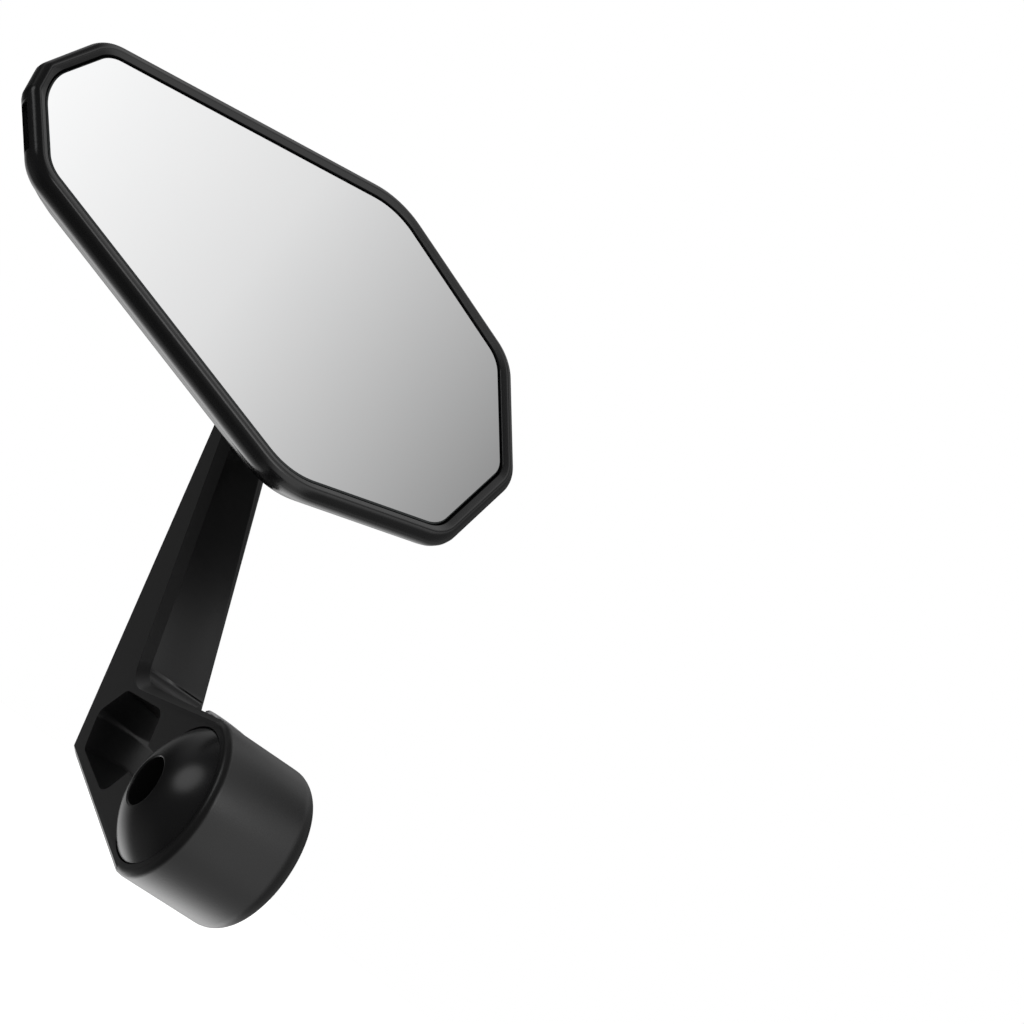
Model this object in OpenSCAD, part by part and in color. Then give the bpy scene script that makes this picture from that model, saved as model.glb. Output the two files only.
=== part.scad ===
// Bar-end motorcycle mirror, left hand.
// A clamp ring turns on a plug that is bolted into the end of the handlebar, a cranked arm
// rises from the ring, and a ball joint at its tip carries the mirror head.
// X is the handlebar axis and points inboard, Y is forward, Z is up.
// The origin is the centre of the plug's inboard end face.

/* [Clamp] */
// Length of the barrel from its outer face to its inboard end
barrel_len = 23.5; // [18:0.5:28]
// Outer radius of the barrel
barrel_r = 17; // [16:0.25:19]
// Radius of the rounded inboard edge of the barrel
barrel_edge_r = 4.5; // [1:0.25:6]
// Radius of the bore that turns on the plug
clamp_bore_r = 14.65; // [14.3:0.05:14.8]
// Width of the clamping slit
slit_w = 6.2; // [4:0.1:7]
// Distance from the bar axis to the pinch screw's axis
pinch_y = 15.5; // [15:0.1:16.5]
// Distance from the outer face to the pinch screw's axis
pinch_x = 8.5; // [7:0.25:10]

/* [Plug] */
// Running clearance between the plug and the clamp bore
plug_gap = 0.05; // [0.02:0.01:0.09]
// How far the dome's flat mouth stands out past its rim
dome_h = 5.7; // [3:0.1:8]
// Radius of the hole for the handlebar bolt
bolt_hole_r = 3.2; // [2.7:0.1:3.5]
// Radius of the recess for the bolt's head
bolt_head_r = 5.1; // [4.4:0.1:5.2]
// Radius of the countersunk mouth
bolt_mouth_r = 5.35; // [5.2:0.05:6]

/* [Arm] */
// Slope of the lower arm's two long edges
taper_a = 8.25; // [6:0.25:10]
// Slope of the upper arm's inner edge, which the ball stud is square to
rise_a = 49.6; // [46:0.2:54]
// Inner corner between the lower and the upper arm, in Y and Z
crook = [45.7, 10.55]; // [0:0.05:60]
// Outer corner of the elbow, in Y and Z
elbow = [50.8, -9.8]; // [-15:0.05:60]
// Length of the upper arm's inner edge, from the crook to the tip
inner_len = 86.3; // [84:0.1:95]
// Outer corner of the tip, in Y and Z
tip_out = [105.4, 68.7]; // [60:0.1:115]
// Thickness of the arm at the elbow
arm_t = 17; // [14:0.25:18]
// Angle by which the upper arm thins towards its tip
thin_a = 3.3; // [0:0.1:4]
// Width of the bevel along the upper arm's outer face
bevel_w = 2; // [1:0.1:2.5]
// Radius of the fillet in the crook
crook_r = 9; // [5:0.5:12]

/* [Ball joint] */
// Distance from the outer face to the ball stud's axis
stud_x = 6.2; // [5:0.1:7]
// Distance along the inner edge from the crook to the stud's axis
stud_run = 73.3; // [65:0.1:80]
// Distance from the arm's edge to the centre of the ball
stud_reach = 16; // [15:0.25:20]
// Radius of the ball
ball_r = 5.5; // [5:0.1:6]
// Radius of the stud's neck
neck_r = 2.35; // [2:0.05:2.6]
// Radius of the stud's collar
collar_r = 3.5; // [3:0.1:4]
// Wall of the ball seat
seat_t = 1.05; // [0.9:0.05:1.2]

/* [Mirror head] */
// Height of the glass's front above the centre of the ball
glass_h = 15; // [14:0.25:18]
// Thickness of the glass
glass_t = 2; // [1.8:0.1:2.4]
// Distance of the head's long axis above the ball
head_rise = 7.2; // [0:0.2:9]
// Turn of the head about the stud at rest
head_roll = -2.9; // [-10:0.1:10]
// Width of the rim around the glass
rim_w = 3.4; // [2.5:0.1:4.5]
// Height of the rim's edge above the glass
rim_lip = 0.7; // [0.3:0.1:1.2]
// Depth of the housing from the rim's edge to its back
housing_d = 24; // [23:0.25:26]
// Depth of the rim's side wall
band_d = 5.4; // [4:0.2:7]
// Wall of the housing
wall = 2.2; // [1.8:0.1:2.6]

/* [Hidden] */
$fn = 64;
face_x = -barrel_len;
plug_r = clamp_bore_r - plug_gap;
pinch_at = [face_x + pinch_x, pinch_y];
ring_touch = (barrel_r - 0.05) * [sin(taper_a), cos(taper_a)];
rise_dir = [cos(rise_a), sin(rise_a)];
tip_in = crook + inner_len * rise_dir;
stud_foot = crook + stud_run * rise_dir;
upper_a = atan2(tip_out.y - elbow.y, tip_out.x - elbow.x);
mid_a = (upper_a + rise_a) / 2;
seat_r = ball_r + 0.03 + seat_t;
socket_r = seat_r + 0.04;
lip_z = glass_h + rim_lip;
back_z = lip_z - housing_d;
// Glass outline as [x, y, corner radius], upper half from the blunt narrow end; the rest is mirrored
half = [[-85, 2.8, 11], [-77.3, 17.3, 7], [-3.6, 40.3, 18], [33.3, 25.1, 8]];
glass_pts = concat(half, [[43.4, 0, 6]], [for (i = [3:-1:0]) [half[i].x, -half[i].y, half[i].z]]);
// The shell's outline is the same, but its blunt end keeps sharp corners
shell_pts = [for (p = glass_pts) [p.x, p.y, p.x < -80 ? 0.4 : p.z]];

// Plane geometry

function unit(v) = v / norm(v);
function at(c, i) = let (n = len(c)) [c[(i + n) % n].x, c[(i + n) % n].y];
function normal_of(a, b) = let (u = unit(b - a)) [-u.y, u.x];
// Moves every side of a clockwise outline [x, y, r] out by w and grows the corner radii with it
function grown(c, w) = [for (i = [0:len(c) - 1])
    let (p = at(c, i), m = normal_of(at(c, i - 1), p), n = normal_of(p, at(c, i + 1)),
        q = p + (m + n) * w / (1 + m * n))
    [q.x, q.y, max(0.3, c[i].z + w)]];
// Points of an outline [x, y, r] with each corner rounded to its radius
function rounded(c, steps = 6) = [for (i = [0:len(c) - 1])
    let (p = at(c, i), u = unit(at(c, i - 1) - p), v = unit(at(c, i + 1) - p),
        h = acos(u * v) / 2, o = p + unit(u + v) * c[i].z / sin(h),
        a = p + u * c[i].z / tan(h) - o, b = p + v * c[i].z / tan(h) - o,
        a0 = atan2(a.y, a.x), sweep = (atan2(b.y, b.x) - a0 + 540) % 360 - 180)
    for (k = [0:steps]) o + c[i].z * [cos(a0 + sweep * k / steps), sin(a0 + sweep * k / steps)]];

// Frames

// Lays a drawing in Y and Z, with its height along X from the given distance
module side_on(x) translate([x, 0, 0]) rotate([90, 0, 90]) children();
// Turns about the bar axis, profile drawn as [radius, x]
module turned_on_bar() rotate([90, 0, 90]) rotate_extrude($fn = 96) children();
// Places a part in the ball's frame: Z along the stud towards the glass, X inboard
module at_ball()
    translate([face_x + stud_x, stud_foot.x, stud_foot.y]) rotate([rise_a, 0, 0])
    translate([0, 0, stud_reach]) children();
// Places a part in the head's frame, whose X is the head's long axis
module at_head() at_ball() rotate([0, 0, head_roll]) children();
// Solid through a stack of clockwise rings with equal numbers of points, highest ring first
module lofted(rings) {
    n = len(rings[0]);
    m = len(rings);
    polyhedron(points = [for (r = rings) each r],
        faces = concat([[for (i = [0:n - 1]) i]], [[for (i = [n - 1:-1:0]) (m - 1) * n + i]],
            [for (j = [0:m - 2]) for (i = [0:n - 1]) let (k = (i + 1) % n) each
                [[j * n + i, (j + 1) * n + i, (j + 1) * n + k], [j * n + i, (j + 1) * n + k, j * n + k]]]),
        convexity = 6);
}

// Bar plug: turned aluminium, bolted into the bar; its groove lets the pinch screw pass

module bar_plug() {
    rim_x = face_x + 0.4;
    sphere_d = (plug_r * plug_r - bolt_mouth_r * bolt_mouth_r - dome_h * dome_h) / (2 * dome_h);
    sphere_r = norm([plug_r, sphere_d]);
    color("dimgray") difference() {
        union() {
            side_on(rim_x) cylinder(r = plug_r, h = -rim_x, $fn = 96);
            intersection() {
                translate([rim_x + sphere_d, 0, 0]) sphere(r = sphere_r, $fn = 96);
                side_on(rim_x - dome_h) cylinder(r = plug_r, h = dome_h + 1, $fn = 96);
            }
        }
        side_on(face_x - 10) cylinder(r = bolt_hole_r, h = barrel_len + 20);
        side_on(rim_x - dome_h - 1) cylinder(r = bolt_head_r, h = 7.5);
        side_on(rim_x - dome_h - 0.01)
            cylinder(r1 = bolt_mouth_r, r2 = bolt_head_r, h = bolt_mouth_r - bolt_head_r);
        turned_on_bar() translate([pinch_y - 3.25, pinch_at.x - 3.3]) square([5, 6.6]);
        side_on(-1) difference() {
            cylinder(r = plug_r + 2, h = 2);
            cylinder(r1 = plug_r, r2 = plug_r - 2, h = 2);
        }
    }
}

// Arm: one forging with the clamp ring and its barrel

// Prism that bevels the outer face along the edge from a to b, w in and d deep, run past each end
module bevel(a, b, w, d, run = [4, 4])
    translate([a.x, a.y, 0]) rotate([0, 0, atan2(b.y - a.y, b.x - a.x)])
    translate([-run[0], 0, 0]) rotate([90, 0, 90]) linear_extrude(norm(b - a) + run[0] + run[1])
    polygon([[-w - w / d, -1], [1, -1], [1, d + d / w]]);

// Tilts a drawing about the elbow, across the upper arm, to lie on its inboard face
module on_thin_side()
    translate([elbow.x, elbow.y, arm_t]) rotate([0, 0, mid_a]) rotate([0, thin_a, 0])
    rotate([0, 0, -mid_a]) translate([-elbow.x, -elbow.y, 0]) children();

// Plate and clamp ring before they are bored and bevelled
module arm_blank() {
    ring_low = [ring_touch.x, -ring_touch.y];
    side_on(face_x) linear_extrude(arm_t) polygon(rounded([[ring_touch.x, ring_touch.y, 0.3],
        [crook.x, crook.y, crook_r], [tip_in.x, tip_in.y, 0.6], [tip_out.x, tip_out.y, 0.6],
        [elbow.x, elbow.y, 5], [ring_low.x, ring_low.y, 0.3]], 8));
    turned_on_bar() difference() {
        translate([0, face_x]) square([barrel_r, barrel_len]);
        polygon([[barrel_r - 0.9, face_x - 1], [barrel_r + 2, face_x - 1],
            [barrel_r + 2, face_x + 1], [barrel_r, face_x + 1], [barrel_r - 0.9, face_x]]);
        difference() {
            translate([barrel_r - barrel_edge_r, -barrel_edge_r]) square(barrel_edge_r + 1);
            translate([barrel_r - barrel_edge_r, -barrel_edge_r]) circle(r = barrel_edge_r);
        }
    }
}

module arm() {
    window = [[20.5, 2.5, 0.8], [25.1, 9.9, 4.5], [45.9, 7.3, 3], [51.5, 0, 2],
        [45.9, -7.3, 3], [25.1, -9.9, 4.5], [20.5, -2.5, 0.8]];
    draft = 1.2;
    out = draft * 2 / arm_t;
    ring_low = [ring_touch.x, -ring_touch.y];
    to_ring = unit(ring_touch - crook);
    crook_h = acos(to_ring * rise_dir) / 2;
    crook_o = crook + unit(to_ring + rise_dir) * crook_r / sin(crook_h);
    crook_a = crook + to_ring * crook_r / tan(crook_h);
    crook_b = crook + rise_dir * crook_r / tan(crook_h);
    widen = normal_of(ring_touch, crook) * (bevel_w - 1);
    fade = normal_of(tip_out, elbow) * (bevel_w - 0.3);
    color("silver") difference() {
        arm_blank();
        // Bore, slit and window
        side_on(face_x - 1) cylinder(r = clamp_bore_r, h = barrel_len + 2, $fn = 96);
        translate([face_x - 1, 8, -slit_w / 2]) cube([barrel_len + 2, 14.5, slit_w]);
        side_on(face_x) lofted([for (k = [1, 0, -1])
            [for (p = rounded(grown(window, k == 0 ? -draft : out), 5))
                [p.x, p.y, arm_t / 2 + k * (arm_t / 2 + 1)]]]);
        // Bevels of the outer face, from the ring round to the ring
        side_on(face_x) {
            bevel(ring_touch, crook_a - widen, 1, 1, [3, 0.1]);
            translate([crook_o.x, crook_o.y, -0.1])
                cylinder(r1 = crook_r + bevel_w + 0.1, r2 = crook_r - 0.4, h = bevel_w + 0.5);
            bevel(crook_b, tip_in, bevel_w, bevel_w, [0.1, 4]);
            bevel(tip_in, tip_out, 2.2, 2.2);
            bevel(tip_out, elbow + fade, bevel_w, bevel_w);
            bevel(elbow, ring_low, 1.2, 1.2, [4, 3]);
        }
        // Inboard side of the upper arm, thinned towards the tip and bevelled
        side_on(face_x) on_thin_side() {
            translate([elbow.x, elbow.y, 0]) rotate([0, 0, mid_a]) translate([0, -20, 0])
                cube([130, 80, 20]);
            mirror([0, 0, 1]) {
                bevel(crook_b + normal_of(crook, tip_in) * 0.9, tip_in, 1, 2.2, [4, 4]);
                bevel(tip_in, tip_out, 2, 2);
                bevel(tip_out, elbow, 1.5, 1.5);
            }
        }
        // Pinch screw: tapped below the slit, clear above it, with a pocket for the head
        translate([pinch_at.x, pinch_at.y, 0]) {
            translate([0, 0, -12]) cylinder(r = 3.03, h = 12);
            cylinder(r = 3.3, h = 20);
            translate([0, 0, 9.6]) cylinder(r = 5.3, h = 10);
        }
        // Ball stud: spot face and shank hole
        at_ball() {
            translate([0, 0, -stud_reach - 0.2]) cylinder(r = 4.7, h = 4);
            translate([0, 0, -stud_reach - 9]) cylinder(r = 2.55, h = 10);
        }
    }
}

// Pinch screw: socket head cap screw, its thread drawn as rings

module pinch_screw() {
    color("gold") translate([pinch_at.x, pinch_at.y, 0]) difference() {
        union() {
            translate([0, 0, -11.5]) cylinder(r = 2.6, h = 16);
            for (k = [-11:1:3]) translate([0, 0, k]) {
                translate([0, 0, -0.45]) cylinder(r1 = 2.6, r2 = 3, h = 0.4);
                translate([0, 0, -0.05]) cylinder(r = 3, h = 0.1);
                translate([0, 0, 0.05]) cylinder(r1 = 3, r2 = 2.6, h = 0.4);
            }
            translate([0, 0, 3.7]) cylinder(r = 2.98, h = 6);
            translate([0, 0, 9.6]) cylinder(r = 5, h = 5.6);
            translate([0, 0, 15.2]) cylinder(r1 = 5, r2 = 4.6, h = 0.4);
        }
        translate([0, 0, 12.6]) cylinder(r = 2.9, h = 5, $fn = 6);
    }
}

// Washer and spring ring under the stud's collar

module stud_washer() color("lightgray") at_ball() difference() {
    translate([0, 0, -stud_reach - 0.2]) cylinder(r = 4.45, h = 1.3);
    translate([0, 0, -stud_reach - 1]) cylinder(r = 2.6, h = 4);
}

module stud_ring() color("dimgray") at_ball() difference() {
    translate([0, 0, -stud_reach + 1.1]) cylinder(r = 4, h = 0.7);
    translate([0, 0, -stud_reach]) cylinder(r = 2.6, h = 4);
}

// Ball stud: turned steel, shank in the arm

module ball_stud() {
    foot = -stud_reach + 1.8;
    color("orange") at_ball() {
        sphere(r = ball_r, $fn = 96);
        translate([0, 0, foot + 3.2]) cylinder(r = neck_r, h = stud_reach - 5 - ball_r + 1.5);
        translate([0, 0, foot + 2.2]) cylinder(r1 = collar_r, r2 = neck_r, h = 1);
        difference() {
            translate([0, 0, foot]) cylinder(r = collar_r, h = 2.2);
            for (s = [-1, 1]) translate([-5, s * 2.9 + (s < 0 ? -2 : 0), foot + 0.3])
                cube([10, 2, 1.6]);
        }
        translate([0, 0, -stud_reach - 8.5]) cylinder(r = 2.5, h = 10.4);
    }
}

// Ball seat: nylon race that floats between the ball and the housing

module ball_seat() color("white") at_ball() difference() {
    sphere(r = seat_r, $fn = 96);
    sphere(r = ball_r + 0.03, $fn = 96);
    translate([-10, -10, 0.2]) cube([20, 20, 10]);
    translate([-10, -10, -14.4]) cube([20, 20, 10]);
}

// Mirror head

function rim(w, z) = [for (p = rounded(grown(shell_pts, w))) [p.x, p.y + head_rise, z]];
function pad(z, s = 1) = [for (p = rounded(grown(glass_pts, 0)))
    [p.x * 0.16 * s + 2, p.y * 0.24 * s, z]];
function mixed(a, b, s) = [for (i = [0:len(a) - 1]) a[i] * (1 - s) + b[i] * s];
// Depth of the back below the rim's edge, s = 0 at the side wall and 1 at the middle
function depth(s) = band_d + (housing_d - band_d - 1.5) * (1 - pow(1 - s, 1.6))
    + 1.5 * min(1, max(0, (s - 0.4) / 0.05));
function back_ring(w, s, t, k = 1) = [for (p = mixed(rim(w, 0), pad(0, k), s))
    [p.x, p.y, lip_z - depth(s) + t]];

plate_r = 14.5;
plate_z = 7.4;
carrier_z = glass_h - glass_t - 2.6;
steps = [0.06, 0.13, 0.2, 0.3, 0.4, 0.45, 0.55, 0.65, 0.75, 0.85, 0.93, 1];

// Housing: moulded shell with the ball's socket and the screw bosses
module housing() {
    side_mid = (at(glass_pts, -2) + at(glass_pts, -1)) / 2;
    side_n = normal_of(at(glass_pts, -2), at(glass_pts, -1));
    color("slategray") at_head() difference() {
        union() {
            difference() {
                lofted(concat([rim(0.25, lip_z - 0.6), rim(rim_w / 2, lip_z),
                    rim(rim_w - 0.7, lip_z - 0.2), rim(rim_w - 0.15, lip_z - 0.65),
                    rim(rim_w, lip_z - 1.3), rim(rim_w - 0.9, lip_z - band_d)],
                    [for (s = steps) back_ring(rim_w - 0.9, s, 0)]));
                lofted(concat([rim(-1.3, lip_z + 1), rim(-1.3, carrier_z)],
                    [for (s = [for (t = steps) if (t > 0.12) t]) back_ring(-1.3, s, wall, 0.9)]));
            }
            translate([0, 0, back_z + 1.2]) cylinder(r = 10.5, h = 6.4 - back_z - 1.2);
            for (a = [90, 210, 330]) rotate([0, 0, a]) translate([plate_r, 0, back_z + 3.5])
                cylinder(r = 3.4, h = plate_z - back_z - 3.5);
        }
        // Shallow pocket in the side wall below the narrow end
        translate([side_mid.x, side_mid.y + head_rise, lip_z - 3.4])
            rotate([0, 0, atan2(side_n.y, side_n.x)]) translate([rim_w - 1.6, 0, 0])
            rotate([90, 0, 90]) linear_extrude(4) polygon(rounded(
                [[-7.6, -1.9, 0.8], [-7.6, 1.9, 0.8], [7.6, 1.9, 0.8], [7.6, -1.9, 0.8]], 4));
        translate([0, 0, carrier_z]) linear_extrude(20) translate([0, head_rise])
            polygon(rounded(grown(glass_pts, 0.35)));
        sphere(r = socket_r, $fn = 96);
        cylinder(r = socket_r, h = 20, $fn = 96);
        translate([0, 0, back_z - 1])
            cylinder(r1 = 5.8, r2 = 4.4, h = 5);
        for (a = [90, 210, 330]) rotate([0, 0, a]) translate([plate_r, 0, -2])
            cylinder(r = 1.52, h = 20);
    }
}

// Pressure cup: nylon, bears on the ball from behind the glass
module pressure_cup() color("ivory") at_head() difference() {
    translate([0, 0, 1.6]) cylinder(r = socket_r - 0.06, h = 4.6, $fn = 96);
    sphere(r = ball_r + 0.03, $fn = 96);
    cylinder(r = 2, h = 20);
}

// Wave spring between the cup and the plate
module wave_spring() color("darkkhaki") at_head() difference() {
    translate([0, 0, 6.2]) cylinder(r = 6.2, h = plate_z - 6.2);
    translate([0, 0, 6]) cylinder(r = 3.6, h = 4);
}

// Retaining plate: pressed steel, three lugs
module retaining_plate() color("silver") at_head() difference() {
    union() {
        translate([0, 0, plate_z]) cylinder(r = 11, h = 1.5);
        for (a = [90, 210, 330]) rotate([0, 0, a]) {
            translate([plate_r, 0, plate_z]) cylinder(r = 4, h = 1.5);
            translate([4, -4, plate_z]) cube([plate_r - 4, 8, 1.5]);
        }
    }
    translate([0, 0, 5]) cylinder(r = 3, h = 5);
    for (a = [90, 210, 330]) rotate([0, 0, a]) translate([plate_r, 0, 5]) cylinder(r = 1.7, h = 5);
}

// Three screws that hold the plate
module plate_screws() color("gold") at_head()
    for (a = [90, 210, 330]) rotate([0, 0, a]) translate([plate_r, 0, plate_z + 1.5]) {
        translate([0, 0, -9.5]) cylinder(r = 1.5, h = 9.6);
        difference() {
            cylinder(r = 2.75, h = 1.3);
            for (b = [0, 90]) rotate([0, 0, b]) translate([-1.6, -0.35, 0.5]) cube([3.2, 0.7, 2]);
        }
    }

// Glass carrier, tape and glass
module glass_carrier() color("darkslategray") at_head() translate([0, head_rise, carrier_z])
    linear_extrude(1.6) polygon(rounded(grown(glass_pts, 0.1)));

module adhesive_pad() color("khaki") at_head() translate([0, head_rise, carrier_z + 1.6])
    linear_extrude(1) polygon(rounded(grown(glass_pts, -2)));

module glass() color("lightblue") at_head() translate([0, head_rise, glass_h - glass_t])
    linear_extrude(glass_t) polygon(rounded(grown(glass_pts, -0.05)));

bar_plug();
arm();
pinch_screw();
stud_washer();
stud_ring();
ball_stud();
ball_seat();
housing();
pressure_cup();
wave_spring();
retaining_plate();
plate_screws();
glass_carrier();
adhesive_pad();
glass();
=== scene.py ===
from math import acos, atan2, cos, exp, hypot, pi, radians, sin, tan

import bmesh
import bpy
from mathutils import Matrix, Vector


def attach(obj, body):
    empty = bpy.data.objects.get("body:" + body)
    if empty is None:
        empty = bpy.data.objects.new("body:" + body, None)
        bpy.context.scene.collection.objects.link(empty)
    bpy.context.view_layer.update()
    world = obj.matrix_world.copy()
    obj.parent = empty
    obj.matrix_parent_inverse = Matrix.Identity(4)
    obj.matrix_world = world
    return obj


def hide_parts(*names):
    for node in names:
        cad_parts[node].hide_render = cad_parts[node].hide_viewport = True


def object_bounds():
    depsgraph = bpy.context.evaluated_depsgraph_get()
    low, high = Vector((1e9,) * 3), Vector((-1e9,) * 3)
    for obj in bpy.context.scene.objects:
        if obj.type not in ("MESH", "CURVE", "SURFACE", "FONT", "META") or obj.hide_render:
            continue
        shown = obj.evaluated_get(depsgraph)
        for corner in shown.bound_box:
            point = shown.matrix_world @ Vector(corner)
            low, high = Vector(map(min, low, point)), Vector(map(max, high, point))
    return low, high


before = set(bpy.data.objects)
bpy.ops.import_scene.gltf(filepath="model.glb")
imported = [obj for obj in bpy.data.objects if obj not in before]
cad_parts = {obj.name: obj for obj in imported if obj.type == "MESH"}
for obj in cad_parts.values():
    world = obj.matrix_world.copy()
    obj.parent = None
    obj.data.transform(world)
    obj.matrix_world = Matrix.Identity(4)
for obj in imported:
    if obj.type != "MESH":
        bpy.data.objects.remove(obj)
cad_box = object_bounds()

# Bar plug
# Domed end plug, turned from aluminium bar and anodised gloss black. A long bolt through its
# countersunk hole pulls it against the end of the handlebar, and the clamp ring turns on it.

barrel_long = 0.0235
plug_radius = 0.0146
plug_set_in = 0.0004
plug_bevel = 0.001
dome_high = 0.0057
dome_steps = 40
bolt_clear = 0.0032
bolt_seat = 0.0051
seat_deep = 0.0065
bolt_mouth = 0.00535
mouth_bevel = 0.00025
rim_soft = 0.0003
edge_soft = 0.0002
edge_fine = 0.0001


def new_piece(name, mesh, material, body, stands_for):
    """Links a mesh as a piece of the mirror, on its body, with its finish, for the solid it replaces"""
    piece = bpy.data.objects.new(name, mesh)
    bpy.context.scene.collection.objects.link(piece)
    mesh.materials.clear()
    mesh.materials.append(material)
    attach(piece, body)
    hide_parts(stands_for)
    return piece


def shaded(bm, sharp):
    """Makes faces smooth, and edges sharp where they turn by more than the angle in degrees"""
    for face in bm.faces:
        face.smooth = True
    for edge in bm.edges:
        edge.smooth = edge.calc_face_angle(0) < radians(sharp)


def from_points(name, points, faces, sharp):
    """Mesh with smooth faces and an edge kept sharp wherever it turns by more than the angle"""
    mesh = bpy.data.meshes.new(name)
    mesh.from_pydata(points, [], faces)
    bm = bmesh.new()
    bm.from_mesh(mesh)
    bmesh.ops.remove_doubles(bm, verts=bm.verts, dist=1e-7)
    bmesh.ops.recalc_face_normals(bm, faces=bm.faces)
    shaded(bm, sharp)
    bm.to_mesh(mesh)
    bm.free()
    return mesh


def eased(profile, radius=0.00015, steps=3):
    """Profile of [x, y] with its corners rounded; a third value on a point is its own radius"""
    longest_cut = 0.45
    out = []
    for i, point in enumerate(profile):
        corner = Vector(point[:2])
        wanted = point[2] if len(point) > 2 else radius
        if i in (0, len(profile) - 1) or wanted == 0:
            out.append(corner)
            continue
        back, on = Vector(profile[i - 1][:2]) - corner, Vector(profile[i + 1][:2]) - corner
        cut = min(wanted, back.length * longest_cut, on.length * longest_cut)
        start, end = corner + back.normalized() * cut, corner + on.normalized() * cut
        for k in range(steps + 1):
            t = k / steps
            out.append((1 - t) ** 2 * start + 2 * t * (1 - t) * corner + t * t * end)
    return out


def turned(name, profile, place, around=128, sharp=60):
    """Lathe work: the profile of [radius, height] turned about the local Z axis, then put in place"""
    points, faces = [], []
    count = len(profile)
    for k in range(around):
        turn = 2 * pi * k / around
        here, there = k * count, (k + 1) % around * count
        points += [place @ Vector((p.x * cos(turn), p.x * sin(turn), p.y)) for p in profile]
        faces += [(here + i, there + i, there + i + 1, here + i + 1) for i in range(count - 1)]
    return from_points(name, points, faces, sharp)


# Every finish has a fine grain and a faint unevenness of sheen, each in its own measure
surface_grain = bpy.data.node_groups.new("surface_grain", "ShaderNodeTree")
grain_inputs = {"Grain size": 0.0003, "Patch size": 0.02, "Sheen": 0.4, "Unevenness": 0.05}
for socket_name, value in grain_inputs.items():
    socket = surface_grain.interface.new_socket(socket_name, in_out="INPUT", socket_type="NodeSocketFloat")
    socket.default_value = value
for socket_name in ("Roughness", "Height", "Patches"):
    surface_grain.interface.new_socket(socket_name, in_out="OUTPUT", socket_type="NodeSocketFloat")


def wire(tree, kind, x=0, y=0, **settings):
    """Adds a node at a place, with its settings"""
    node = tree.nodes.new(kind)
    node.location = (x, y)
    for key, value in settings.items():
        setattr(node, key, value)
    return node


def build_grain(tree):
    """Fine noise for the height of the grain, and broad noise for the sheen and the patches"""
    ins, outs = wire(tree, "NodeGroupInput", -900), wire(tree, "NodeGroupOutput", 500)
    where = wire(tree, "ShaderNodeTexCoord", -900, 300)
    fine = wire(tree, "ShaderNodeTexNoise", -300, 300)
    fine.inputs["Detail"].default_value = 3
    broad = wire(tree, "ShaderNodeTexNoise", -300, -100)
    broad.inputs["Detail"].default_value = 4
    for noise, size, y in ((fine, "Grain size", 200), (broad, "Patch size", -100)):
        count = wire(tree, "ShaderNodeMath", -600, y, operation="DIVIDE")
        count.inputs[0].default_value = 1
        tree.links.new(ins.outputs[size], count.inputs[1])
        tree.links.new(count.outputs[0], noise.inputs["Scale"])
        tree.links.new(where.outputs["Object"], noise.inputs["Vector"])
    centred = wire(tree, "ShaderNodeMath", -100, -250, operation="SUBTRACT")
    centred.inputs[1].default_value = 0.5
    spread = wire(tree, "ShaderNodeMath", 100, -250, operation="MULTIPLY_ADD")
    tree.links.new(broad.outputs["Fac"], centred.inputs[0])
    tree.links.new(centred.outputs[0], spread.inputs[0])
    tree.links.new(ins.outputs["Unevenness"], spread.inputs[1])
    tree.links.new(ins.outputs["Sheen"], spread.inputs[2])
    tree.links.new(spread.outputs[0], outs.inputs["Roughness"])
    tree.links.new(fine.outputs["Fac"], outs.inputs["Height"])
    tree.links.new(broad.outputs["Fac"], outs.inputs["Patches"])


build_grain(surface_grain)


def grained(name, colour, paler, sheen, grain, patch, uneven, metal):
    """Principled material whose colour and sheen vary with the surface grain, and its grain node"""
    material = bpy.data.materials.new(name)
    material.use_nodes = True
    tree = material.node_tree
    shader = tree.nodes["Principled BSDF"]
    shader.inputs["Metallic"].default_value = metal
    group = wire(tree, "ShaderNodeGroup", -600, 0, node_tree=surface_grain)
    values = {"Grain size": grain, "Patch size": patch, "Sheen": sheen, "Unevenness": uneven}
    for socket_name, value in values.items():
        group.inputs[socket_name].default_value = value
    # The colours of a Mix node are its inputs 6 and 7 and its output 2
    tint = wire(tree, "ShaderNodeMix", -300, 250, data_type="RGBA")
    tint.inputs[6].default_value = (*colour, 1)
    tint.inputs[7].default_value = (*paler, 1)
    tree.links.new(group.outputs["Patches"], tint.inputs[0])
    tree.links.new(tint.outputs[2], shader.inputs["Base Color"])
    tree.links.new(group.outputs["Roughness"], shader.inputs["Roughness"])
    return material, group


def finish(name, colour, sheen, grain, depth, patch=0.02, uneven=0.05, metal=0.0, lighter=1.3):
    """Grained material with the height of its grain as a bump"""
    paler = [min(1, c * lighter) for c in colour]
    material, group = grained(name, colour, paler, sheen, grain, patch, uneven, metal)
    tree = material.node_tree
    bump = wire(tree, "ShaderNodeBump", -300, -250)
    bump.inputs["Strength"].default_value = depth
    bump.inputs["Distance"].default_value = grain / 2
    tree.links.new(group.outputs["Height"], bump.inputs["Height"])
    tree.links.new(bump.outputs["Normal"], tree.nodes["Principled BSDF"].inputs["Normal"])
    return material


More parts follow.
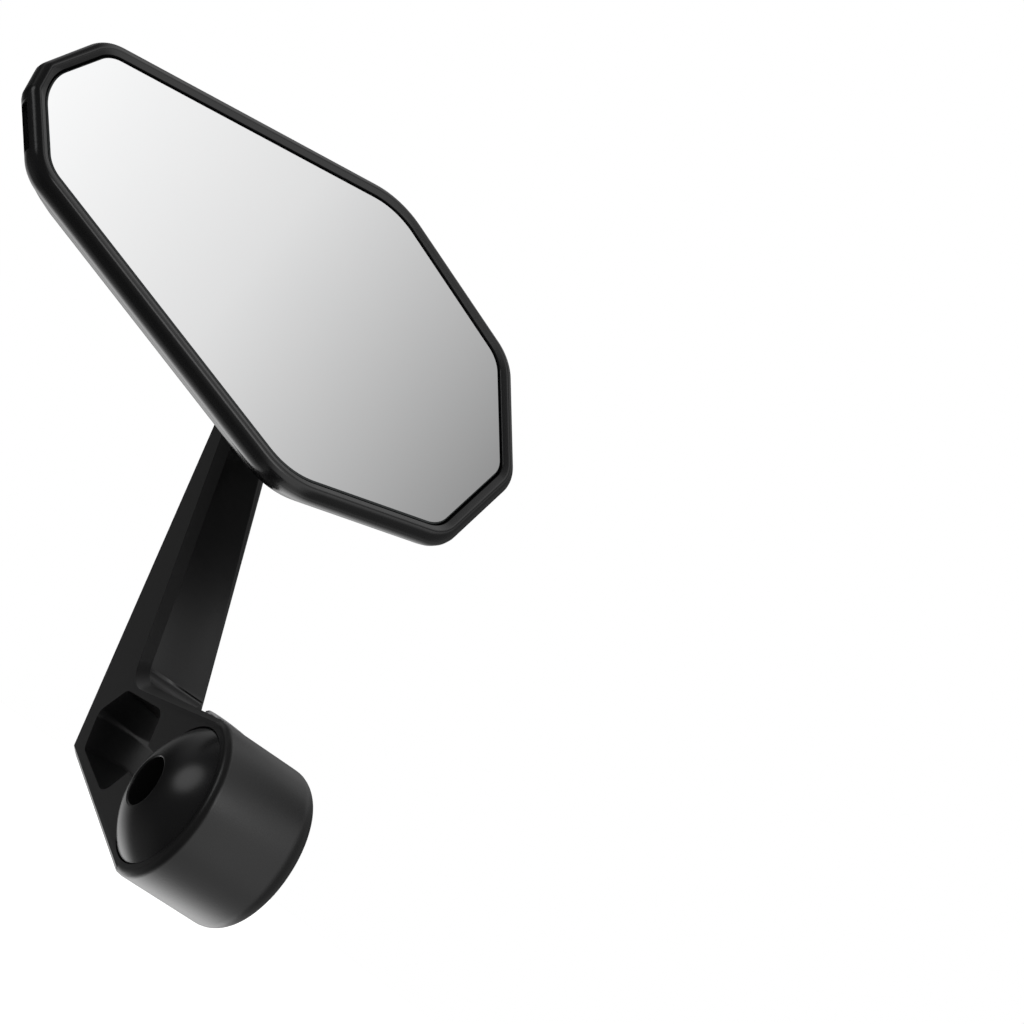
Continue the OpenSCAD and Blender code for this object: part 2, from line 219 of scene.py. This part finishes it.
gloss_black = finish("gloss_black_anodised", (0.003, 0.003, 0.0032), 0.24, grain=0.0002, depth=0.02,
                     uneven=0.03)
along_bar = Matrix.Rotation(pi / 2, 4, "Y")
rim_at = -barrel_long + plug_set_in
mouth_at = rim_at - dome_high
dome_deep = (plug_radius ** 2 - bolt_mouth ** 2 - dome_high ** 2) / (2 * dome_high)
dome_radius = hypot(plug_radius, dome_deep)
dome_turn = atan2(plug_radius, dome_deep)
dome = [(dome_radius * sin(a), rim_at + dome_deep - dome_radius * cos(a), 0)
        for a in [dome_turn * (1 - k / dome_steps) for k in range(1, dome_steps + 1)]
        if dome_radius * sin(a) > bolt_mouth + edge_soft]
plug_profile = eased(
    [(bolt_clear, 0), (plug_radius - plug_bevel, 0, edge_soft), (plug_radius, -plug_bevel, edge_soft),
     (plug_radius, rim_at, rim_soft)]
    + dome
    + [(bolt_mouth, mouth_at, edge_soft), (bolt_seat, mouth_at + mouth_bevel, edge_fine),
       (bolt_seat, mouth_at + seat_deep, edge_fine), (bolt_clear, mouth_at + seat_deep, edge_fine),
       (bolt_clear, 0)])
new_piece("domed_plug", turned("domed_plug", plug_profile, along_bar), gloss_black, "plug",
          "bar_plug")

# Arm
# One aluminium forging: the clamp ring with its barrel, the lower arm with its window and the
# cranked upper arm, bevelled all round, bead blasted and anodised satin black.

arm_edge = 0.00028
arm_sharp = 25
flat_within = 0.3
barrel_radius = 0.017
barrel_end = 0.0012
barrel_soft = 0.0005
slack = 0.00002
satin_black = finish("satin_black_metal", (0.004, 0.004, 0.0042), 0.32, grain=0.00035, depth=0.1,
                     patch=0.015, uneven=0.06)


def at_barrel_end(vert):
    """True for a corner on the outer rim of the barrel"""
    from_axis = hypot(vert.co.y, vert.co.z)
    at_rim = barrel_radius - barrel_end < from_axis < barrel_radius + slack
    return at_rim and vert.co.x < -barrel_long + barrel_end


arm_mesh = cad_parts["arm"].data.copy()
bm = bmesh.new()
bm.from_mesh(arm_mesh)
bmesh.ops.remove_doubles(bm, verts=bm.verts, dist=1e-6)
bmesh.ops.dissolve_limit(bm, angle_limit=radians(flat_within), verts=bm.verts, edges=bm.edges)
barrel_rim = [edge for edge in bm.edges if all(at_barrel_end(vert) for vert in edge.verts)
              and abs(edge.verts[0].co.x - edge.verts[1].co.x) < slack / 2]
bmesh.ops.bevel(bm, geom=barrel_rim, offset=barrel_soft, segments=4, profile=0.5, affect="EDGES")
shaded(bm, arm_sharp)
bm.to_mesh(arm_mesh)
bm.free()
arm = new_piece("forged_arm", arm_mesh, satin_black, "arm", "arm")
softened = arm.modifiers.new("edges", "BEVEL")
softened.width = arm_edge
softened.segments = 2
softened.limit_method = "ANGLE"
softened.angle_limit = radians(arm_sharp)
softened.harden_normals = True

# Pinch screw
# Socket head cap screw of zinc plated steel. It lies across the slit of the clamp ring and
# draws the ring tight on the plug.


def plated(name, colour, sheen, depth=0.05):
    """Bright metal finish with a very fine grain"""
    return finish(name, colour, sheen, 0.0002, depth, patch=0.004, uneven=0.08, metal=1.0, lighter=1.12)


def given(material, *nodes):
    """Puts a finish on solids that keep their own shape"""
    for node in nodes:
        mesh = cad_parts[node].data
        if not mesh.materials:
            mesh.materials.append(material)
        for index in range(len(mesh.materials)):
            mesh.materials[index] = material


zinc = plated("zinc_steel", (0.55, 0.55, 0.56), 0.28)
given(zinc, "pinch_screw")

# Stud washer and spring ring
# Turned washer of bright steel and a split spring ring of blackened wire, which seat the stud on
# the flat end of the arm and keep it from working loose.

steel = plated("bright_steel", (0.62, 0.62, 0.63), 0.14, depth=0.03)
given(steel, "stud_washer")
given(plated("black_steel", (0.03, 0.03, 0.032), 0.35), "stud_ring")

# Ball stud
# Ball, collar and threaded shank turned from one steel bar, the ball ground bright. The shank
# screws into the tip of the arm, and the mirror head turns on the ball.

given(steel, "ball_stud")

# Ball seat and pressure cup
# The two halves of the ball's socket, moulded in pale nylon so that the head turns stiffly. The
# seat lies between the ball and the shell, and the cup bears on the ball from behind the glass.

given(finish("nylon", (0.78, 0.76, 0.7), 0.45, grain=0.0004, depth=0.05), "ball_seat", "pressure_cup")

# Wave spring, retaining plate and its screws
# Zinc plated steel. The wave spring presses the cup on the ball, and the pressed plate is screwed
# down over it by its three lugs.

given(zinc, "wave_spring", "retaining_plate", "plate_screws")

# Glass carrier and adhesive pad
# The carrier is a plate of black plastic that closes the shell. The pad is black foam tape that
# holds the glass to it.

given(finish("black_plastic", (0.012, 0.012, 0.012), 0.55, grain=0.0005, depth=0.2), "glass_carrier")
given(finish("black_foam", (0.02, 0.02, 0.02), 0.9, grain=0.0006, depth=0.6), "adhesive_pad")

# Housing
# Shell of the mirror head, moulded in black plastic: a rounded rim that stands a little proud of
# the glass, a short side wall, and a back whose creases run from the corners to a raised middle.

rise = radians(49.6)
ball_at = Vector((-0.0173, 0.081023, 0.076741))
head_roll = radians(-2.9)
head_rise = 0.0072
glass_front = 0.015
glass_thick = 0.002
glass_gap = 0.00035
pad_and_carrier = 0.0026
rim_proud = 0.0007
rim_wide = 0.0034
band_deep = 0.0054
shell_deep = 0.024
lip_at = glass_front + rim_proud
back_at = lip_at - shell_deep
carrier_at = glass_front - glass_thick - pad_and_carrier
head_turn = Matrix.Rotation(rise, 4, "X") @ Matrix.Rotation(head_roll, 4, "Z")
head_place = Matrix.Translation(ball_at) @ head_turn

# Corners of the glass as [x, y, radius], from the narrow end along the top and back along the foot
outline = [(-0.085, 0.0034, 0.011), (-0.0773, 0.0179, 0.007), (-0.0036, 0.0409, 0.018),
           (0.0339, 0.0257, 0.008), (0.0439, -0.0002, 0.006), (0.0338, -0.0251, 0.008),
           (-0.0036, -0.0403, 0.018), (-0.0773, -0.0173, 0.007), (-0.085, -0.0028, 0.011)]
# The shell is the same but for sharp corners at its narrow end, and is a little wider past the middle
narrow_end = -0.08
narrow_radius = 0.0004
shell_outline = [(x, y, narrow_radius if x < narrow_end else r) for x, y, r in outline]
broad_out = 0.0009
top_out = 0.0005
widened_past = 0.02
# Steps in the arc of a corner, and the parts of a side's length that have a point
arc_steps = 12
side_parts = (0.08, 0.095, 0.25, 0.5, 0.75, 0.905, 0.92)


def neighbours(corners):
    """Every corner of an outline, with the corners before and after it, and its radius"""
    points = [Vector(corner[:2]) for corner in corners]
    radii = [corner[2] for corner in corners]
    return zip(points, points[-1:] + points[:-1], points[1:] + points[:1], radii)


def grown(corners, by, least_radius=0.0003):
    """Outline with every side moved out and the corner radii grown with it"""
    out = []
    for corner, before, after, radius in neighbours(corners):
        came, goes = (corner - before).normalized(), (after - corner).normalized()
        outward = Vector((-came.y, came.x)) + Vector((-goes.y, goes.x))
        moved = corner + outward * by / (outward.length_squared / 2)
        out.append((moved.x, moved.y, max(least_radius, radius + by)))
    return out


def rounded(corners):
    """Points of an outline: an arc at each corner, then parts of the side that follows it"""
    arcs = []
    for corner, before, after, radius in neighbours(corners):
        back, on = (before - corner).normalized(), (after - corner).normalized()
        half = acos(max(-1, min(1, back.dot(on)))) / 2
        centre = corner + (back + on).normalized() * (radius / sin(half))
        start = corner + back * (radius / tan(half)) - centre
        end = corner + on * (radius / tan(half)) - centre
        first = atan2(start.y, start.x)
        sweep = (atan2(end.y, end.x) - first + 3 * pi) % (2 * pi) - pi
        turns = [first + sweep * k / arc_steps for k in range(arc_steps + 1)]
        arcs.append([centre + radius * Vector((cos(turn), sin(turn))) for turn in turns])
    out = []
    for arc, following in zip(arcs, arcs[1:] + arcs[:1]):
        out += arc + [arc[-1].lerp(following[0], part) for part in side_parts]
    return out


def level(corners, z):
    """Rounded outline at a height in the head"""
    return [Vector((p.x, p.y + head_rise, z)) for p in rounded(corners)]


def ring(by, z, shape=shell_outline):
    """Outline grown by an amount, a little wider round the broad end and the top"""
    share = by / rim_wide
    corners = [(x + broad_out * share * (x > widened_past), y + top_out * share * (y > widened_past), r)
               for x, y, r in grown(shape, by)]
    return level(corners, z)


def strips(rings):
    """Faces that join each ring of points to the next"""
    count = len(rings[0])
    faces = []
    for first in range(0, (len(rings) - 1) * count, count):
        second = first + count
        for i in range(count):
            on = (i + 1) % count
            faces.append((first + i, second + i, second + on, first + on))
    return faces


wall_out = 0.0001
wall_round = 0.0008
wall_middle = -0.003
wall_half = 0.0024
# The recess takes in the points of the side that follows a corner, all but its first and its last
recess_deep = 0.001
recess_corner = 7
recess_first = recess_corner * (arc_steps + 1 + len(side_parts)) + arc_steps + 2
recess_last = recess_first + len(side_parts) - 3


def side_ring(z, sunk):
    """Ring of the rounded side wall, sunk over most of the side that runs down from the narrow end"""
    by = rim_wide + wall_out - wall_round * ((z - wall_middle) / wall_half) ** 2
    whole, inner = ring(by, lip_at + z), ring(by - sunk, lip_at + z)
    return [inner[i] if recess_first <= i <= recess_last else p for i, p in enumerate(whole)]


back_curve = 1.6
fuller_deep = 0.0012
fuller_at = 0.12
mound_deep = 0.0015
mound_from = 0.36
mound_run = 0.12


def back_depth(s):
    """Depth of the back under the rim's edge, from the side wall at 0 to the middle at 1"""
    t = min(1, max(0, (s - mound_from) / mound_run))
    mound = mound_deep * t * t * (3 - 2 * t)
    fuller = fuller_deep * s / fuller_at * exp(1 - s / fuller_at)
    slope = (shell_deep - band_deep - mound_deep) * (1 - (1 - s) ** back_curve)
    return band_deep + slope + fuller + mound


# From the carrier up the inside of the rim, over the rim and down the side wall
inner_profile = [(glass_gap, carrier_at - lip_at), (glass_gap, -0.0008), (glass_gap + 0.0001, -0.00056)]
rings = [ring(by, lip_at + z, outline) for by, z in inner_profile]
rim_profile = eased([(0.0004, -0.0006), (0.00165, 0, 0.0003), (0.0024, -0.0002, 0.0006),
                     (0.0030, -0.0008, 0.0006), (0.00335, -0.0017, 0.0006), (0.0035, -0.003)], steps=4)
rings += [ring(by, lip_at + z) for by, z in rim_profile[1:-1]]
side_profile = [(-0.0024, 0), (-0.00255, recess_deep), (-0.0034, recess_deep), (-0.0044, recess_deep),
                (-0.0053, recess_deep), (-0.00545, 0)]
rings += [side_ring(z, sunk) for z, sunk in side_profile]

# The back, from the side wall to the raised middle
wall_in = 0.0009
back_parts = [0.01, 0.025] + [0.04 * k for k in range(1, 26)]
middle_wide = 0.16
middle_high = 0.24
middle_off = 0.002
wall_ring = ring(rim_wide - wall_in, 0)
middle = [Vector((p.x * middle_wide + middle_off, p.y * middle_high, 0)) for p in rounded(shell_outline)]
for s in back_parts:
    drop = Vector((0, 0, back_depth(s) - lip_at))
    rings.append([w.lerp(m, s) - drop for w, m in zip(wall_ring, middle)])

# The throat in the middle of the back, through which the stud comes to the ball
throat = [(0.0062, 0), (0.0058, 0.0003), (0.00463, 0.0039), (0.0044, 0.0045)]
turns = [atan2(m.y, m.x) for m in middle]
for radius, z in throat:
    rings.append([Vector((radius * cos(a), radius * sin(a), back_at + z)) for a in turns])

shell_black = finish("satin_black_plastic", (0.003, 0.003, 0.0032), 0.2, grain=0.0004, depth=0.05)
shell = from_points("shell", [head_place @ p for r in rings for p in r], strips(rings), sharp=40)
new_piece("moulded_shell", shell, shell_black, "head", "housing")

# Glass
# Flat mirror glass, silvered on its back. Its edges are ground, and it is taped to the carrier
# inside the rim.

edge_in = 0.00005
edge_ground = 0.0003
silvered, _ = grained("mirror_glass", (0.93, 0.935, 0.94), (0.95, 0.95, 0.95), 0.03, grain=0.004,
                      patch=0.03, uneven=0.015, metal=1.0)
side_outline = grown(outline, -edge_in)
face_outline = grown(outline, -edge_in - edge_ground)
rings = [level(side_outline, glass_front - glass_thick), level(side_outline, glass_front - edge_ground),
         level(face_outline, glass_front)]
count = len(rings[0])
caps = [tuple(range(2 * count, 3 * count)), tuple(reversed(range(count)))]
pane = from_points("pane", [head_place @ p for r in rings for p in r], strips(rings) + caps, sharp=20)
new_piece("mirror_pane", pane, silvered, "head", "glass")
ground = finish("ground_edge", (0.03, 0.033, 0.033), 0.5, grain=0.0001, depth=0.3, patch=0.003)
pane.materials.append(ground)
for face in pane.polygons:
    face.material_index = 1 if len(face.vertices) == 4 else 0

# Studio
# A pale round floor under the mirror, two soft lamps and the camera. The surround is white to the
# camera. In reflections it is white on the side of the handlebar and falls to dark on the other.

floor_radius = 0.9
floor_drop = 0.1
floor_points = 96
floor_at = cad_box[0].z - floor_drop
turns = [2 * pi * k / floor_points for k in range(floor_points)]
floor_mesh = bpy.data.meshes.new("floor")
floor_mesh.from_pydata([(floor_radius * cos(a), floor_radius * sin(a), floor_at) for a in turns], [],
                       [tuple(range(floor_points))])
floor = bpy.data.objects.new("floor", floor_mesh)
bpy.context.scene.collection.objects.link(floor)
pale = bpy.data.materials.new("pale_floor")
pale.use_nodes = True
tree = pale.node_tree
shader = tree.nodes["Principled BSDF"]
shader.inputs["Base Color"].default_value = (0.88, 0.88, 0.88, 1)
shader.inputs["Roughness"].default_value = 0.9
shader.inputs["Emission Color"].default_value = (1, 1, 1, 1)
seen = wire(tree, "ShaderNodeLightPath", -600)
lift = wire(tree, "ShaderNodeMath", -300, operation="MULTIPLY")
lift.inputs[1].default_value = 0.6
tree.links.new(seen.outputs["Is Camera Ray"], lift.inputs[0])
tree.links.new(lift.outputs[0], shader.inputs["Emission Strength"])
floor_mesh.materials.append(pale)
floor.visible_glossy = False

world = bpy.data.worlds.new("studio")
bpy.context.scene.world = world
world.use_nodes = True
tree = world.node_tree
surround = tree.nodes["Background"]
path = wire(tree, "ShaderNodeLightPath", -900, 500)
aim = wire(tree, "ShaderNodeTexCoord", -1500)
split = wire(tree, "ShaderNodeSeparateXYZ", -1300)
tree.links.new(aim.outputs["Generated"], split.inputs[0])


def feed(value, socket):
    """Sets a socket to a number, or links another node's output to it"""
    if isinstance(value, (int, float)):
        socket.default_value = value
    else:
        tree.links.new(value, socket)


def fade(axis, near, far, start, end, kind="SMOOTHSTEP"):
    """Brightness that goes from start to end as a direction goes from near to far along an axis"""
    node = wire(tree, "ShaderNodeMapRange", -1000, interpolation_type=kind)
    for socket_name, value in (("From Min", near), ("From Max", far), ("To Min", start), ("To Max", end)):
        node.inputs[socket_name].default_value = value
    feed(split.outputs[axis] if isinstance(axis, str) else axis, node.inputs["Value"])
    return node.outputs[0]


def maths(kind, a, b):
    """Result of a maths node on two values"""
    node = wire(tree, "ShaderNodeMath", -800, operation=kind)
    feed(a, node.inputs[0])
    feed(b, node.inputs[1])
    return node.outputs[0]


def mixed(a, b, share):
    """The first value where the share is 0, and the second where it is 1"""
    # The numbers of a Mix node are its inputs 2 and 3
    node = wire(tree, "ShaderNodeMix", -800)
    feed(a, node.inputs[2])
    feed(b, node.inputs[3])
    feed(share, node.inputs[0])
    return node.outputs[0]


# White on the side of the handlebar, dark straight along the bar, and brightest low in front
across = maths("SUBTRACT", split.outputs["X"], fade("Z", 0.0, 0.6, 0.0, 0.12))
across = maths("ADD", across, fade("Y", 0.5, 0.85, 0.0, 0.28))
side = maths("MULTIPLY", fade(across, -0.3, 0.4, 0.1, 1.15), fade("X", 0.52, 0.75, 1.0, 0.2))
under = maths("MULTIPLY", fade("Y", -0.25, 0.4, -0.3, 1.2), fade("Z", -0.75, -0.35, 1.0, 0.0))
side = maths("MULTIPLY", side, maths("ADD", 1.0, under))

# Dark ahead of the mirror, with a faint glow above
ahead = maths("MULTIPLY", fade("Y", 0.2, 0.65, 0.0, 0.8), fade("Z", -0.5, 0.0, 0.0, 1.0))
lower = maths("MULTIPLY", side, maths("SUBTRACT", 1.0, ahead))
glow = maths("MULTIPLY", fade("Y", 0.3, 0.7, 0.0, 0.25), fade("Z", 0.2, 0.5, 0.0, 1.0))
lower = maths("ADD", lower, glow)

# Panel overhead, which the glass reflects, and which falls off along the bar
top = maths("MINIMUM", fade("X", 0.23, 0.5, 1.012, 0.356, "LINEAR"),
            fade("X", 0.23, 0.5, 1.193, 0.018, "LINEAR"))
panel = maths("MULTIPLY", top, fade("X", -0.15, 0.2, 0.1, 1.0))

diffuse_level = 0.75
mirrored = mixed(lower, panel, fade("Z", 0.72, 0.88, 0.0, 1.0))
lit = mixed(diffuse_level, mirrored, path.outputs["Is Glossy Ray"])
level_seen = mixed(lit, 1.0, path.outputs["Is Camera Ray"])
tree.links.new(level_seen, surround.inputs["Strength"])
surround.inputs["Color"].default_value = (1, 1, 1, 1)


def softbox(name, place, target, size, power):
    """Round soft lamp, aimed at a target"""
    lamp = bpy.data.lights.new(name, "AREA")
    lamp.shape = "ELLIPSE"
    lamp.size = size
    lamp.size_y = size
    lamp.energy = power
    holder = bpy.data.objects.new(name, lamp)
    holder.location = place
    holder.rotation_euler = (Vector(target) - Vector(place)).to_track_quat("-Z", "Y").to_euler()
    bpy.context.scene.collection.objects.link(holder)


softbox("key_light", (-0.94, 0.15, 0.36), (0, 0, 0), size=0.5, power=0.85)
softbox("fill_light", (0.1, -1.3, 0.9), (0, 0.04, 0.03), size=0.8, power=3)

camera_data = bpy.data.cameras.new("camera")
camera_data.sensor_width = 36
camera_data.lens = 94.22
camera_data.clip_start = 0.01
camera = bpy.data.objects.new("camera", camera_data)
camera.location = (-0.22846, -0.4557, 0.0576)
camera.rotation_euler = [radians(a) for a in (93.2134, -36.5413, -28.4354)]
bpy.context.scene.collection.objects.link(camera)
bpy.context.scene.camera = camera
bpy.context.scene.view_settings.view_transform = "Standard"
